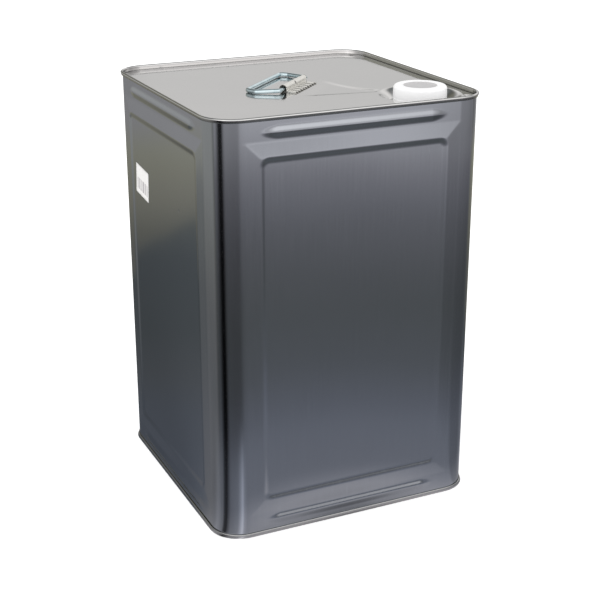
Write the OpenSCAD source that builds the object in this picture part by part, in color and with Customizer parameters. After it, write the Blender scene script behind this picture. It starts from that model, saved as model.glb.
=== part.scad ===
// Square tin can for about 18 litres, with a wire bail handle and a screw cap in one corner.
// Millimetres, +Z up, origin at the centre of the base, front face towards -Y.

/* [Can] */
// Width and depth over the double seams
can_w = 238; // [210:1:280]
// Height over the double seams
can_h = 350; // [240:1:420]
// Thickness of the tinplate
sheet = 0.32; // [0.24:0.02:0.5]
// Outside radius of the upright corners of the body
corner_r = 25; // [15:1:40]
// Width of the welded lap at the back
lap_w = 3; // [1.5:0.5:6]
// How far the welded lap stands out
lap_proud = 0.12; // [0.06:0.02:0.2]

/* [Double seams] */
// How far a seam stands out from the body wall
seam_proud = 1.75; // [1.6:0.05:2.5]
// Height of a seam
seam_h = 3.2; // [2.8:0.1:5]
// Depth of the end panels below the seam's edge
countersink = 4; // [3.4:0.1:6]
// Free height past the tip of each hook inside the seam
hook_gap = 0.4; // [0.2:0.05:0.8]
// Gap between the layers of a seam
seam_gap = 0.06; // [0.03:0.01:0.1]
// Thickness of the sealing compound
compound_t = 0.16; // [0.1:0.02:0.2]

/* [Pressed panels] */
// Distance of the frame from the can's top and bottom
frame_end = 19.5; // [17.5:0.5:30]
// Width of the frame's outer slope
frame_slope = 12; // [6:0.5:16]
// Height of the frame's crest
frame_rise = 0.9; // [0.6:0.05:1.6]
// Width of the inner step down to the panel
frame_step = 3.5; // [2:0.5:8]
// Distance from the ends of a bead to the can's round corners
bead_in = 11; // [4:0.5:40]
// Height of the bead's flanks, together
bead_w = 9; // [5:0.5:10]
// How far the bead stands out
bead_rise = 1.2; // [0.5:0.05:1.4]
// Distance of the bead's middle from the can's top and bottom
bead_end = 12.5; // [11:0.5:14.5]

/* [Handle] */
// Handle's place from the can's middle, to the right
handle_x = -1.6; // [-30:0.1:20]
// Handle's place from the can's middle, to the back
handle_y = -7.5; // [-20:0.1:30]
// Turn of the handle's barrel from the front face
handle_turn = 44; // [40:1:50]
// Diameter of the bail's wire
wire_d = 4; // [3:0.1:5]
// Width of the bail at its shoulders
shoulder_w = 75; // [74:1:96]
// Distance from the pivot to the shoulders
shoulder_reach = 20; // [14:0.5:24]
// Distance from the shoulders to the grip
grip_reach = 7.8; // [6:0.1:20]
// How far each end of the grip is inside the shoulders
grip_in = 1.3; // [0.5:0.1:4]
// Distance from the barrel's end to the wire's first corner
foot_out = 3; // [2.6:0.1:6]
// Bend radius of the wire's centre line
bend_r = 3.6; // [3:0.1:4]
// Length of the rolled barrel
barrel_l = 54; // [40:0.5:55]
// Thickness of the bracket's tin
bracket_t = 0.5; // [0.4:0.05:0.8]
// Radial running clearance of the wire in its barrel
wire_gap = 0.08; // [0.02:0.01:0.1]
// How far the bracket's plate is inside the barrel's ends
plate_in = 2; // [0.5:0.5:6]
// Reach of the bracket's plate from the pivot
plate_reach = 13; // [10:0.5:20]
// How far the plate's far edge is shifted along the barrel
plate_skew = 5; // [0:0.1:6]
// How far each end of the plate's far edge is drawn in
plate_taper = 3; // [0:0.5:5]
// Number of pressed ribs in the plate
rib_count = 5; // [3:1:6]
// Width of a pressed rib
rib_w = 2; // [1:0.1:3]
// Height of a pressed rib
rib_rise = 0.5; // [0.2:0.05:1]
// Fan angle between neighbouring ribs
rib_fan = 5; // [0:1:10]

/* [Mouth and cap] */
// Rim radius of the round well that the mouth stands in
well_r = 35; // [32:0.5:40]
// Width of the flat between the well and the lid's upright wall
well_edge = 4.2; // [0.8:0.05:6]
// Depth of the well
well_depth = 6; // [1:0.1:8]
// Radius of the well's flat floor
well_floor_r = 25; // [24:0.5:30]
// Outside radius of the neck
neck_r = 19.6; // [16:0.1:20]
// Wall of the neck
neck_wall = 2; // [1.5:0.1:3]
// Height of the neck above the well's floor
neck_h = 11.6; // [6:0.1:15]
// Radial width of the neck's flange
flange_w = 2.2; // [1.6:0.1:3]
// Thickness of the neck's flange, and of the bead under the lid
flange_t = 1; // [0.6:0.1:1.6]
// Thickness of the gasket under the flange
gasket_t = 0.8; // [0.4:0.1:1.2]
// Radial width of the gasket
gasket_w = 2; // [1:0.1:2]
// Radial width of the neck's bead under the lid
neck_bead_w = 1.6; // [1:0.1:2.5]
// Radial clearance of the neck in the lid's hole
hole_gap = 0.2; // [0.1:0.05:0.4]
// Radial clearance between the cap and the neck
cap_gap = 0.35; // [0.3:0.05:0.6]
// Wall of the cap's skirt
cap_wall = 1.8; // [1.2:0.1:2.5]
// Thickness of the cap's top
cap_top = 1.2; // [0.8:0.1:2]
// Rounding of the cap's shoulder
cap_round = 2.6; // [1:0.1:2.8]
// Radius of the sunk disc in the cap's top
disc_r = 14; // [8:0.5:15]
// Depth of the sunk disc
disc_depth = 0.4; // [0.2:0.05:0.6]
// Thickness of the cap's liner
liner_t = 0.6; // [0.4:0.1:1]
// Gap below the cap's skirt
skirt_gap = 0.3; // [0.3:0.1:0.6]

/* [Sticker] */
// Width of the sticker on the left side
label_w = 31.7; // [20:0.1:60]
// Height of the sticker
label_h = 26; // [15:0.1:50]
// Thickness of the sticker
label_t = 0.12; // [0.08:0.02:0.2]
// Distance of the sticker from the panel's rear edge
label_in = 6.2; // [2:0.1:60]
// Distance of the sticker's middle below the can's top
label_drop = 88.2; // [60:0.1:180]
// Tilt of the sticker
label_tilt = 5.5; // [0:0.5:10]

/* [Hidden] */
$fn = 96;

// Overrun of cuts, and the small gap between flat faces that press on each other
over = sheet / 2;
touch_gap = compound_t / 4;

// Shares of a bead's height that each flank takes, and of the wire's size that its loop has
flank_share = 0.45;
loop_share = 0.99;

// Numbers of chords and sides of curved forms
arc_steps = 8;
bend_steps = 4;
wire_sides = 16;

// Half widths of the layers of a seam, from the outside to the inside
seam_half = can_w / 2;
body_half = seam_half - seam_proud;
hook_half = seam_half - sheet - seam_gap;
end_hook_half = body_half + seam_gap + sheet;
inner_half = body_half - sheet;
chuck_half = inner_half - seam_gap;
lid_half = chuck_half - sheet;

// Pressed panels
frame_w = 2 * (body_half - corner_r);
crest_w = frame_w - 2 * frame_slope;
crest_end = frame_end + frame_slope;
panel_half = crest_w / 2 - frame_step;
bead_l = frame_w - 2 * bead_in;

// Heights
lid_z = can_h - countersink;
seam_bottom = can_h - seam_h;
flange_z = can_h - sheet - compound_t - 2 * touch_gap - sheet;
end_hook = flange_z - seam_bottom - hook_gap;
body_hook = flange_z - seam_bottom - hook_gap;
well_z = lid_z - well_depth;
pivot_z = lid_z + bracket_t + wire_gap + wire_d / 2;
flange_bottom = well_z + gasket_t + touch_gap;
flange_top = flange_bottom + flange_t;
neck_top = well_z + neck_h;
cap_base = flange_top + skirt_gap;
liner_z = neck_top + touch_gap;
cap_inside = liner_z + liner_t + touch_gap;
cap_z = cap_inside + cap_top;
cap_in_r = neck_r + cap_gap;
cap_r = cap_in_r + cap_wall;
hole_r = neck_r + hole_gap;
mouth_off = lid_half - well_r - well_edge;
plate_w = barrel_l - 2 * plate_in;
foot_w = barrel_l + 2 * foot_out;
grip_l = shoulder_w - 2 * grip_in;
bail_reach = shoulder_reach + grip_reach;

tin = [0.40, 0.42, 0.45];
bright_tin = [0.74, 0.74, 0.72];
zinc = [0.66, 0.74, 0.78];
white = [0.95, 0.95, 0.94];
rubber_grey = [0.25, 0.25, 0.26];
gasket_grey = [0.72, 0.72, 0.70];

// Square with round corners, whose corner centres stay the same for every half width
module outline(half) {
    r = corner_r + half - body_half;
    span = half - r;
    square([2 * half, 2 * span], center = true);
    square([2 * span, 2 * half], center = true);
    for (x = [-span, span], y = [-span, span])
        translate([x, y])
            circle(r);
}

module slab(half, z0, z1) {
    translate([0, 0, z0])
        linear_extrude(z1 - z0)
            outline(half);
}

module ring(outer, inner, z0, z1) {
    translate([0, 0, z0])
        linear_extrude(z1 - z0)
            difference() {
                outline(outer);
                outline(inner);
            }
}

// Raised block on the plane y = 0, standing out towards -Y, with sloping sides all round.
// It is sunk behind the plane by the same slope's foot, so that it joins the wall.
module raised_block(w, z0, z1, slope_w, slope_h, rise, sink) {
    intersection() {
        translate([0, 0, z0])
            linear_extrude(z1 - z0)
                polygon([[-w / 2, sink], [-w / 2, 0], [-w / 2 + slope_w, -rise],
                    [w / 2 - slope_w, -rise], [w / 2, 0], [w / 2, sink]]);
        translate([-w / 2, 0, 0])
            rotate([90, 0, 90])
                linear_extrude(w)
                    polygon([[sink, z0], [0, z0], [-rise, z0 + slope_h],
                        [-rise, z1 - slope_h], [0, z1], [sink, z1]]);
    }
}

// Sloping cut from the crest of the frame down to the panel
module panel_cut(w, z0, z1, step_w, rise) {
    intersection() {
        translate([0, 0, z0 - step_w])
            linear_extrude(z1 - z0 + 2 * step_w)
                polygon([[-w / 2, 0], [w / 2, 0], [w / 2 + 2 * step_w, -2 * rise],
                    [-w / 2 - 2 * step_w, -2 * rise]]);
        translate([-w / 2 - step_w, 0, 0])
            rotate([90, 0, 90])
                linear_extrude(w + 2 * step_w)
                    polygon([[0, z0], [0, z1], [-2 * rise, z1 + 2 * step_w],
                        [-2 * rise, z0 - 2 * step_w]]);
    }
}

// Picture frame and two beads that stiffen one side
module pressings(sink) {
    difference() {
        raised_block(frame_w, frame_end, can_h - frame_end, frame_slope, frame_slope,
            frame_rise, sink);
        panel_cut(2 * panel_half, crest_end + frame_step,
            can_h - crest_end - frame_step, frame_step, frame_rise);
    }
    for (z = [bead_end, can_h - bead_end])
        raised_block(bead_l, z - bead_w / 2, z + bead_w / 2, bead_w, bead_w * flank_share,
            bead_rise, sink);
}

// Space inside the tinplate's outer face, or inside its inner face for an inset of one sheet
module body_form(inset, z0, z1) {
    slab(body_half - inset, z0, z1);
    for (turn = [0, 90, 180, 270])
        rotate([0, 0, turn])
            translate([0, inset - body_half, 0])
                pressings(sheet);
}

// Edge of the body turned outwards and back inside the top seam
module body_flange() {
    ring(hook_half, inner_half, flange_z, flange_z + sheet);
    ring(hook_half, hook_half - sheet, flange_z + sheet - body_hook, flange_z + sheet);
}

module body_shell() {
    low_z = can_h - flange_z - sheet;
    color(tin)
        union() {
            difference() {
                union() {
                    body_form(0, low_z, flange_z + sheet);
                    // Welded lap down the back, over the pressings
                    intersection() {
                        body_form(-lap_proud, low_z + seam_h, flange_z - seam_h);
                        translate([-lap_w / 2, body_half - sheet, low_z + seam_h])
                            cube([lap_w, sheet + lap_proud + frame_rise + bead_rise,
                                flange_z - low_z - 2 * seam_h]);
                    }
                }
                body_form(sheet, low_z - over, flange_z + sheet + over);
            }
            body_flange();
            translate([0, 0, can_h])
                mirror([0, 0, 1])
                    body_flange();
        }
}

// Seam layers that belong to an end: inner wall, top, outer wall and hook
module end_seam() {
    ring(chuck_half, lid_half, lid_z - sheet, can_h);
    ring(seam_half, lid_half, can_h - sheet, can_h);
    ring(seam_half, seam_half - sheet, seam_bottom, can_h);
    ring(seam_half, end_hook_half - sheet, seam_bottom, seam_bottom + sheet);
    ring(end_hook_half, end_hook_half - sheet, seam_bottom, seam_bottom + end_hook);
}

module top_end() {
    color(bright_tin)
        union() {
            end_seam();
            difference() {
                slab(chuck_half, lid_z - sheet, lid_z);
                translate([mouth_off, -mouth_off, lid_z - sheet - over])
                    cylinder(h = sheet + 2 * over, r = well_r);
            }
            // Round well with a flat floor, a hole in it, and a sloping side
            translate([mouth_off, -mouth_off, 0])
                rotate_extrude()
                    polygon([[hole_r, well_z - sheet], [well_floor_r, well_z - sheet],
                        [well_r, lid_z - sheet], [well_r + sheet, lid_z - sheet],
                        [well_r + sheet, lid_z], [well_r, lid_z], [well_floor_r, well_z],
                        [hole_r, well_z]]);
        }
}

module bottom_end() {
    color(bright_tin)
        translate([0, 0, can_h])
            mirror([0, 0, 1])
                union() {
                    end_seam();
                    slab(chuck_half, lid_z - sheet, lid_z);
                }
}

// Flowed-in sealing compound between the body's edge and the end
module compound() {
    color(rubber_grey)
        ring(hook_half - seam_gap, inner_half, can_h - sheet - touch_gap - compound_t,
            can_h - sheet - touch_gap);
}

module top_seam_compound() {
    compound();
}

module bottom_seam_compound() {
    translate([0, 0, can_h])
        mirror([0, 0, 1])
            compound();
}

// Moves a child from the pivot's own axes to the can: the barrel along X, the bail towards +Y
module at_pivot() {
    translate([handle_x, handle_y, pivot_z])
        rotate([0, 0, handle_turn])
            children();
}

module handle_bracket() {
    bore_r = wire_d / 2 + wire_gap;
    drop = bore_r + bracket_t;
    plate_t = 2 * bracket_t;
    color(bright_tin)
        at_pivot()
            difference() {
                union() {
                    translate([-barrel_l / 2, 0, 0])
                        rotate([0, 90, 0])
                            cylinder(h = barrel_l, r = drop);
                    translate([0, 0, -drop])
                        linear_extrude(plate_t)
                            polygon([[-plate_w / 2, 0],
                                [plate_taper - plate_skew - plate_w / 2, -plate_reach],
                                [plate_w / 2 - plate_skew - plate_taper, -plate_reach],
                                [plate_w / 2, 0]]);
                    for (i = [0:rib_count - 1]) {
                        side = i - (rib_count - 1) / 2;
                        translate([side * plate_w / (rib_count + 1), -drop, plate_t - drop])
                            rotate([0, 0, side * rib_fan - atan(plate_skew / plate_reach)])
                                translate([-rib_w / 2, rib_w - plate_reach + drop, -plate_t / 2])
                                    cube([rib_w, plate_reach - 2 * drop, rib_rise + plate_t / 2]);
                    }
                }
                translate([-barrel_l / 2 - over, 0, 0])
                    rotate([0, 90, 0])
                        cylinder(h = barrel_l + 2 * over, r = bore_r);
            }
}

// Corners of the bail's centre line, in order round the loop
bail_points = [[foot_w / 2, 0], [shoulder_w / 2, shoulder_reach], [grip_l / 2, bail_reach],
    [-grip_l / 2, bail_reach], [-shoulder_w / 2, shoulder_reach], [-foot_w / 2, 0]];

function unit(v) = v / norm(v);
function wrap(i) = (i + len(bail_points)) % len(bail_points);
function heading(i) = unit(bail_points[wrap(i + 1)] - bail_points[wrap(i)]);
function angle_of(v) = atan2(v[1], v[0]);
function turn_at(i) = (angle_of(heading(i)) - angle_of(heading(i - 1)) + 360) % 360;
function trim_at(i) = bend_r * tan(turn_at(i) / 2);
function left_of(v) = [-v[1], v[0]];

// The loop is swept along the bends, from one end of the straight pin to the other
function bend_centre(i) = bail_points[i] - heading(i - 1) * trim_at(i)
    + left_of(heading(i - 1)) * bend_r;
function bend_heading(i, share) = angle_of(heading(i - 1)) + share * turn_at(i);
bail_path = [for (i = [0:len(bail_points) - 1], k = [0:bend_steps])
    let (a = bend_heading(i, k / bend_steps))
        [bend_centre(i) - bend_r * left_of([cos(a), sin(a)]), a]];
function wire_ring(place, a) = [for (k = [0:wire_sides - 1])
    let (side = wire_d / 2 * loop_share * cos(360 * k / wire_sides))
        [place[0] - side * sin(a), place[1] + side * cos(a),
            wire_d / 2 * loop_share * sin(360 * k / wire_sides)]];

module bail_loop() {
    last = len(bail_path) - 1;
    rings = concat([wire_ring(bail_path[0][0] - [over, 0], 0)],
        [for (stop = bail_path) wire_ring(stop[0], stop[1])],
        [wire_ring(bail_path[last][0] + [over, 0], 0)]);
    n = wire_sides;
    polyhedron(
        points = [for (one = rings) each one],
        faces = concat([[for (k = [0:n - 1]) k]],
            [for (i = [0:len(rings) - 2], k = [0:n - 1])
                [i * n + k, (i + 1) * n + k, (i + 1) * n + (k + 1) % n, i * n + (k + 1) % n]],
            [[for (k = [n - 1:-1:0]) (len(rings) - 1) * n + k]]));
}

module bail() {
    pin_l = 2 * bail_path[0][0][0];
    color(zinc)
        at_pivot()
            union() {
                translate([-pin_l / 2, 0, 0])
                    rotate([0, 90, 0])
                        cylinder(h = pin_l, d = wire_d);
                bail_loop();
            }
}

module at_mouth() {
    translate([mouth_off, -mouth_off, 0])
        children();
}

// Neck with its flange above the lid and its turned bead below
module mouth_neck() {
    bead_top = well_z - sheet - touch_gap;
    bore_r = neck_r - neck_wall;
    color(white)
        at_mouth()
            rotate_extrude()
                polygon([[bore_r, bead_top - flange_t], [neck_r + neck_bead_w, bead_top - flange_t],
                    [neck_r + neck_bead_w, bead_top], [neck_r, bead_top], [neck_r, flange_bottom],
                    [neck_r + flange_w, flange_bottom], [neck_r + flange_w, flange_top],
                    [neck_r, flange_top], [neck_r, neck_top], [bore_r, neck_top]]);
}

module neck_gasket() {
    color(gasket_grey)
        at_mouth()
            translate([0, 0, well_z])
                difference() {
                    cylinder(h = gasket_t, r = hole_r + gasket_w);
                    translate([0, 0, -over])
                        cylinder(h = gasket_t + 2 * over, r = hole_r);
                }
}

module cap_liner() {
    color(white)
        at_mouth()
            translate([0, 0, liner_z])
                cylinder(h = liner_t, r = neck_r);
}

// Outline of the cap from its skirt over the round shoulder to the sunk disc
cap_shoulder = [for (i = [0:arc_steps])
    [cap_r - cap_round + cap_round * cos(90 * i / arc_steps),
        cap_z - cap_round + cap_round * sin(90 * i / arc_steps)]];

module screw_cap() {
    color(white)
        at_mouth()
            rotate_extrude()
                polygon(concat([[cap_in_r, cap_base], [cap_r, cap_base]], cap_shoulder,
                    [[disc_r + disc_depth, cap_z], [disc_r, cap_z - disc_depth],
                        [0, cap_z - disc_depth], [0, cap_inside], [cap_in_r, cap_inside]]));
}

module label_sticker() {
    color(white)
        translate([-body_half, panel_half - label_in - label_w / 2, can_h - label_drop])
            rotate([label_tilt, 0, 0])
                translate([-label_t, -label_w / 2, -label_h / 2])
                    cube([label_t, label_w, label_h]);
}

body_shell();
top_end();
bottom_end();
top_seam_compound();
bottom_seam_compound();
handle_bracket();
bail();
mouth_neck();
neck_gasket();
cap_liner();
screw_cap();
label_sticker();
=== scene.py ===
# Square tin can with a wire bail and a screw cap: its looks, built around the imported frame
import math

import bmesh
import bpy
from mathutils import Matrix, Vector, noise


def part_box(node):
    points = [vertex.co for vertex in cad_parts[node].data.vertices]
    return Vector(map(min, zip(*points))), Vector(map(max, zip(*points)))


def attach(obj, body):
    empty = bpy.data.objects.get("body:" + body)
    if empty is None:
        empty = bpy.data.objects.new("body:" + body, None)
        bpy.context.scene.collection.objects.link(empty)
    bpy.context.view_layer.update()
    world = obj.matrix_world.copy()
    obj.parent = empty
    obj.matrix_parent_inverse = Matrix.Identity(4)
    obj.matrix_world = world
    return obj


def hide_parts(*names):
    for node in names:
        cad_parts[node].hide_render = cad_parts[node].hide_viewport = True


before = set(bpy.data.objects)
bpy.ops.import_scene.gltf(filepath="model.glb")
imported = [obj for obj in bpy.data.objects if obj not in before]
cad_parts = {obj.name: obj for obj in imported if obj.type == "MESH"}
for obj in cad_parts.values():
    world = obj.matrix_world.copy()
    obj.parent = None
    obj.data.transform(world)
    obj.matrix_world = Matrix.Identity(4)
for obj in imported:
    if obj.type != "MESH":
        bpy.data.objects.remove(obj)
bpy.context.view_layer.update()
print("stage: frame loaded,", len(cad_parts), "nodes")

mm = 0.001
merge = 0.002 * mm  # points nearer than this are one
scene = bpy.context.scene

# The can's main sizes, read from the frame and shared by several pieces (millimetres)
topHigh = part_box("top_end")[1] / mm
capLow, capHigh = (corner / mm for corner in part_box("screw_cap"))
mouthX = (capLow.x + capHigh.x) / 2
mouthY = (capLow.y + capHigh.y) / 2
canHigh = topHigh.z
seamHalf = topHigh.x

can = {
    "sheet": 0.32,  # tinplate
    "seamProud": 1.75,  # seam beyond the wall
    "seamHigh": 3.6,  # from the seam's top to its lower edge
    "sink": 4.0,  # lid below the seam's edge
    "cornerRadius": 25.0,  # upright corners, outside
    "cornerSteps": 14,
    "layerGap": 0.06,  # between the layers of a seam
}
wallHalf = seamHalf - can["seamProud"]
flatHalf = wallHalf - can["cornerRadius"]
lidHalf = wallHalf - 2 * can["sheet"] - can["layerGap"]
lidZ = canHigh - can["sink"]


# Small helpers

def between(low, high, steps):
    return [low + (high - low) * k / steps for k in range(steps + 1)]


def lines(*stretches):
    # (low, high, spacing) stretches joined into one list of grid lines
    found = []
    for low, high, spacing in stretches:
        found += between(low, high, max(1, round((high - low) / spacing)))
    return sorted({round(value, 4) for value in found})


def softRamp(distance, width, rounding):
    # 0 to 1 over width, with both ends rounded
    if distance <= -rounding:
        return 0.0
    if distance >= width + rounding:
        return 1.0
    if distance < rounding:
        return (distance + rounding) ** 2 / (4 * rounding) / width
    if distance > width - rounding:
        return 1 - (width + rounding - distance) ** 2 / (4 * rounding) / width
    return distance / width


def hump(share):
    return 0.5 - 0.5 * math.cos(math.pi * min(max(share, 0.0), 1.0))


def ripple(x, y, z, size, seed):
    return noise.noise(Vector((x / size + seed, y / size, z / size)))


def newObject(name, bm, material):
    mesh = bpy.data.meshes.new(name)
    bm.to_mesh(mesh)
    bm.free()
    mesh.materials.append(material)
    made = bpy.data.objects.new(name, mesh)
    scene.collection.objects.link(made)
    return made


def finishPiece(name, bm, body, material, replaced, thickness=0.0):
    piece = newObject(name, bm, material)
    for face in piece.data.polygons:
        face.use_smooth = True
    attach(piece, body)
    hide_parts(*replaced)
    if thickness:
        modifier = piece.modifiers.new("thickness", "SOLIDIFY")
        modifier.thickness = thickness * mm
        modifier.offset = -1.0
        modifier.use_even_offset = True
    print("stage:", name, "with", len(piece.data.polygons), "faces")


def gridSheet(across, along, place, closed=False, turnOver=False):
    # a sheet of across by along points, each point put where place(i, j) says, in millimetres
    bm = bmesh.new()
    bmesh.ops.create_grid(bm, x_segments=across - 1, y_segments=along - 1, size=1.0)
    for vert in bm.verts:
        i = round((vert.co.x + 1) / 2 * (across - 1))
        j = round((vert.co.y + 1) / 2 * (along - 1))
        vert.co = Vector(place(i, j)) * mm
    if closed:
        bmesh.ops.remove_doubles(bm, verts=bm.verts, dist=merge)
    if turnOver:
        bmesh.ops.reverse_faces(bm, faces=bm.faces)
    return bm


def lathe(profile, centre, steps):
    # profile: (radius, height) points in millimetres, turned about the upright axis at centre
    bm = bmesh.new()
    verts = [bm.verts.new(Vector((centre[0] + r, centre[1], z)) * mm) for r, z in profile]
    edges = [bm.edges.new(pair) for pair in zip(verts, verts[1:])]
    bmesh.ops.spin(bm, geom=verts + edges, cent=Vector((centre[0], centre[1], 0)) * mm,
                   axis=(0, 0, 1), dvec=(0, 0, 0), angle=2 * math.pi, steps=steps,
                   use_merge=True, use_duplicate=False)
    bmesh.ops.remove_doubles(bm, verts=bm.verts, dist=merge)
    bmesh.ops.recalc_face_normals(bm, faces=bm.faces)
    return bm


def arc(centre, radius, fromDegrees, toDegrees, steps):
    return [(centre[0] + radius * math.cos(math.radians(a)),
             centre[1] + radius * math.sin(math.radians(a)))
            for a in between(fromDegrees, toDegrees, steps)]


def stepsFrom(corner, steps):
    # points of an outline, each step counted from the corner
    return [(corner[0] + outward, corner[1] + upward) for outward, upward in steps]


def squareStations(sideLines, cornerSteps):
    # stations round a square with round corners: side, place along it and turn into the corner
    found = []
    for side in range(4):
        found += [(side, u, 0.0) for u in sideLines[side]]
        found += [(side, flatHalf, angle) for angle in between(0, 90, cornerSteps[side])[1:-1]]
    return found + [found[0]]


def stationPoint(station, half):
    # the point and outward normal of a station on the square of that half width
    side, u, angle = station
    radius = half - flatHalf
    turn = Matrix.Rotation(math.radians(90 * side), 2)
    sine = math.sin(math.radians(angle))
    cosine = math.cos(math.radians(angle))
    point = turn @ Vector((u + radius * sine, -flatHalf - radius * cosine))
    return point, turn @ Vector((sine, -cosine))


# Materials

def addNode(tree, kind, inputs=None, **settings):
    # inputs: socket name or number to a value, or to another node's output
    made = tree.nodes.new("ShaderNode" + kind)
    for key, value in settings.items():
        setattr(made, key, value)
    for key, value in (inputs or {}).items():
        socket = made.inputs[key]
        if isinstance(value, bpy.types.NodeSocket):
            tree.links.new(value, socket)
        else:
            socket.default_value = value
    return made


def grey(value):
    return (value, value, value, 1)


def addRamp(tree, factor, stops):
    ramp = addNode(tree, "ValToRGB", {"Fac": factor})
    elements = ramp.color_ramp.elements
    while len(elements) < len(stops):
        elements.new(0.5)
    for element, (position, value) in zip(elements, sorted(stops, key=lambda stop: stop[0])):
        element.position = position
        element.color = (*value, 1) if hasattr(value, "__len__") else grey(value)
    return ramp.outputs["Color"]


def addSpread(tree, factor, positions, values):
    return addRamp(tree, factor, list(zip(positions, values)))


def addMath(tree, operation, first, second=0.0):
    made = addNode(tree, "Math", {0: first, 1: second}, operation=operation)
    return made.outputs[0]


def product(tree, first, second):
    return addMath(tree, "MULTIPLY", first, second)


def addMix(tree, factor, first, second, blend="MIX"):
    made = addNode(tree, "Mix", {"Factor": factor, 6: first, 7: second},
                   data_type="RGBA", blend_type=blend)
    return made.outputs[2]


def addNoise(tree, vector, scale, detail=3.0, rough=0.55, distort=0.0):
    made = addNode(tree, "TexNoise", {"Vector": vector, "Scale": scale,
                   "Detail": detail, "Roughness": rough, "Distortion": distort})
    return made.outputs["Fac"]


def addBump(tree, height, distance, strength=1.0, under=None):
    inputs = {"Height": height, "Distance": distance * mm, "Strength": strength}
    if under is not None:
        inputs["Normal"] = under
    return addNode(tree, "Bump", inputs).outputs["Normal"]


def objectSpot(tree):
    return addNode(tree, "TexCoord").outputs["Object"]


def stretched(tree, scale=(1, 1, 1)):
    return addNode(tree, "Mapping", {"Vector": objectSpot(tree), "Scale": scale}).outputs[0]


def awayFrom(tree, spot, place):
    made = addNode(tree, "VectorMath", {0: spot, 1: place}, operation="DISTANCE")
    return made.outputs["Value"]


def smoothStep(tree, value, low, high):
    made = addNode(tree, "MapRange", {0: value, 1: low, 2: high, 3: 0.0, 4: 1.0},
                   interpolation_type="SMOOTHSTEP")
    return made.outputs[0]


def newMaterial(name, color, metallic, roughness):
    material = bpy.data.materials.new(name)
    material.use_nodes = True
    tree = material.node_tree
    shader = tree.nodes["Principled BSDF"]
    shader.inputs["Base Color"].default_value = (*color, 1)
    shader.inputs["Metallic"].default_value = metallic
    shader.inputs["Roughness"].default_value = roughness
    return material, tree, shader


# what all the tinplate shares
tin = {
    "grainShare": 0.6,  # of the tone, where the clouds make up the rest
    "toneAt": (0.3, 0.7),
    "scratchAt": (0.0, 0.68, 0.73), "scratchRough": 0.1, "shadeRough": 0.4,
    "waveStretch": (1, 1, 0.6),
}


def feed(tree, shader, *sources):
    # into a shader: its colour, roughness and normal
    for source, socket in zip(sources, ("Base Color", "Roughness", "Normal")):
        tree.links.new(source, shader.inputs[socket])


def rolledTin(name, look):
    # bright rolled tinplate: grain along one axis, faint clouds, slack waves and fine scratches
    material, tree, shader = newMaterial(name, look["color"], look["metallic"], look["roughness"])
    grain = addNoise(tree, stretched(tree, look["grainScale"]), 1.0, 4.0, 0.6)
    clouds = addNoise(tree, stretched(tree), look["cloudScale"], 3.0)
    scratch = addNoise(tree, stretched(tree, look["scratchScale"]), 1.0, 2.0, 0.5, 0.3)
    scratch = addSpread(tree, scratch, tin["scratchAt"], (0.0, 0.0, 1.0))
    scratch = product(tree, scratch, look["scratches"])
    tone = addMath(tree, "ADD", product(tree, grain, tin["grainShare"]),
                   product(tree, clouds, 1 - tin["grainShare"]))
    colors = [tuple(min(1.0, channel * (1 + way * look["variation"])) for channel in look["color"])
              for way in (-1, 1)]
    color = addSpread(tree, tone, tin["toneAt"], colors)
    color = addMix(tree, scratch, color, (*look["scratchColor"], 1))
    low, high = [look["roughness"] + way * look["roughVariation"] for way in (-1, 1)]
    rough = addSpread(tree, tone, tin["toneAt"], (low, high))
    rough = addMix(tree, scratch, rough, grey(high + tin["scratchRough"]))
    if "shadeShare" in look:
        # painted shade: the piece's own per-point values darken the tin and make it duller where shade falls
        # (on the bracket also along its sheared edge)
        paintedShade = addNode(tree, "Attribute", attribute_name="paintedShade").outputs["Fac"]
        paintedShade = product(tree, paintedShade, look["shadeShare"])
        color = addMix(tree, paintedShade, color, (*look["paintedShade"], 1))
        rough = addMix(tree, paintedShade, rough, grey(tin["shadeRough"]))
    waves = addNoise(tree, stretched(tree, tin["waveStretch"]), look["waveScale"], 1.0, 0.4)
    normal = addBump(tree, waves, look["waveHeight"])
    normal = addBump(tree, grain, look["grainHeight"], 1.0, normal)
    for place, radius, depth in look["dents"]:
        away = awayFrom(tree, objectSpot(tree), Vector(place) * mm)
        normal = addBump(tree, smoothStep(tree, away, 0.0, radius * mm), depth, 1.0, normal)
    feed(tree, shader, color, rough, normal)
    return material


# painted shade: the body gets a much darker, bluer base colour than the same tinplate of the lid and base
# dents: (place in millimetres, radius, depth)
shadedBodyTinLook = {
    "color": (0.40, 0.42, 0.455), "variation": 0.03, "metallic": 1.0,
    "roughness": 0.13, "roughVariation": 0.02,
    "grainScale": (700, 700, 22), "grainHeight": 0.0007, "cloudScale": 9.0,
    "scratchScale": (420, 420, 60), "scratches": 0.10, "scratchColor": (0.55, 0.57, 0.6),
    "waveScale": 15.0, "waveHeight": 0.12,
    "dents": [((-117.25, -37, 261), 1.5, 0.30), ((-117.25, 12, 152), 1.6, 0.06),
              ((22, -117.25, 118), 1.8, 0.05)],
}
lidTinLook = {
    "color": (0.70, 0.695, 0.69), "variation": 0.025, "metallic": 1.0,
    "roughness": 0.095, "roughVariation": 0.02,
    "grainScale": (24, 700, 700), "grainHeight": 0.0006, "cloudScale": 12.0,
    "scratchScale": (70, 380, 380), "scratches": 0.12, "scratchColor": (0.82, 0.82, 0.8),
    "waveScale": 14.0, "waveHeight": 0.10, "dents": [((-74, 113, 346), 3.0, 0.3)],
    # painted shade: colour and strength of the darkening in the groove and on the seam's outside
    "shadeShare": 1.0, "paintedShade": (0.25, 0.255, 0.26),
}
# the bracket's darkening is near black: painted shade in its hollows, and darker marks along its sheared edge
bracketTinLook = dict(lidTinLook, color=(0.78, 0.765, 0.72), variation=0.08, waveHeight=0.06,
                      roughness=0.28, roughVariation=0.05, metallic=0.45, waveScale=90.0,
                      scratches=0.4, dents=[], shadeShare=0.9, paintedShade=(0.05, 0.045, 0.035))
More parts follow.
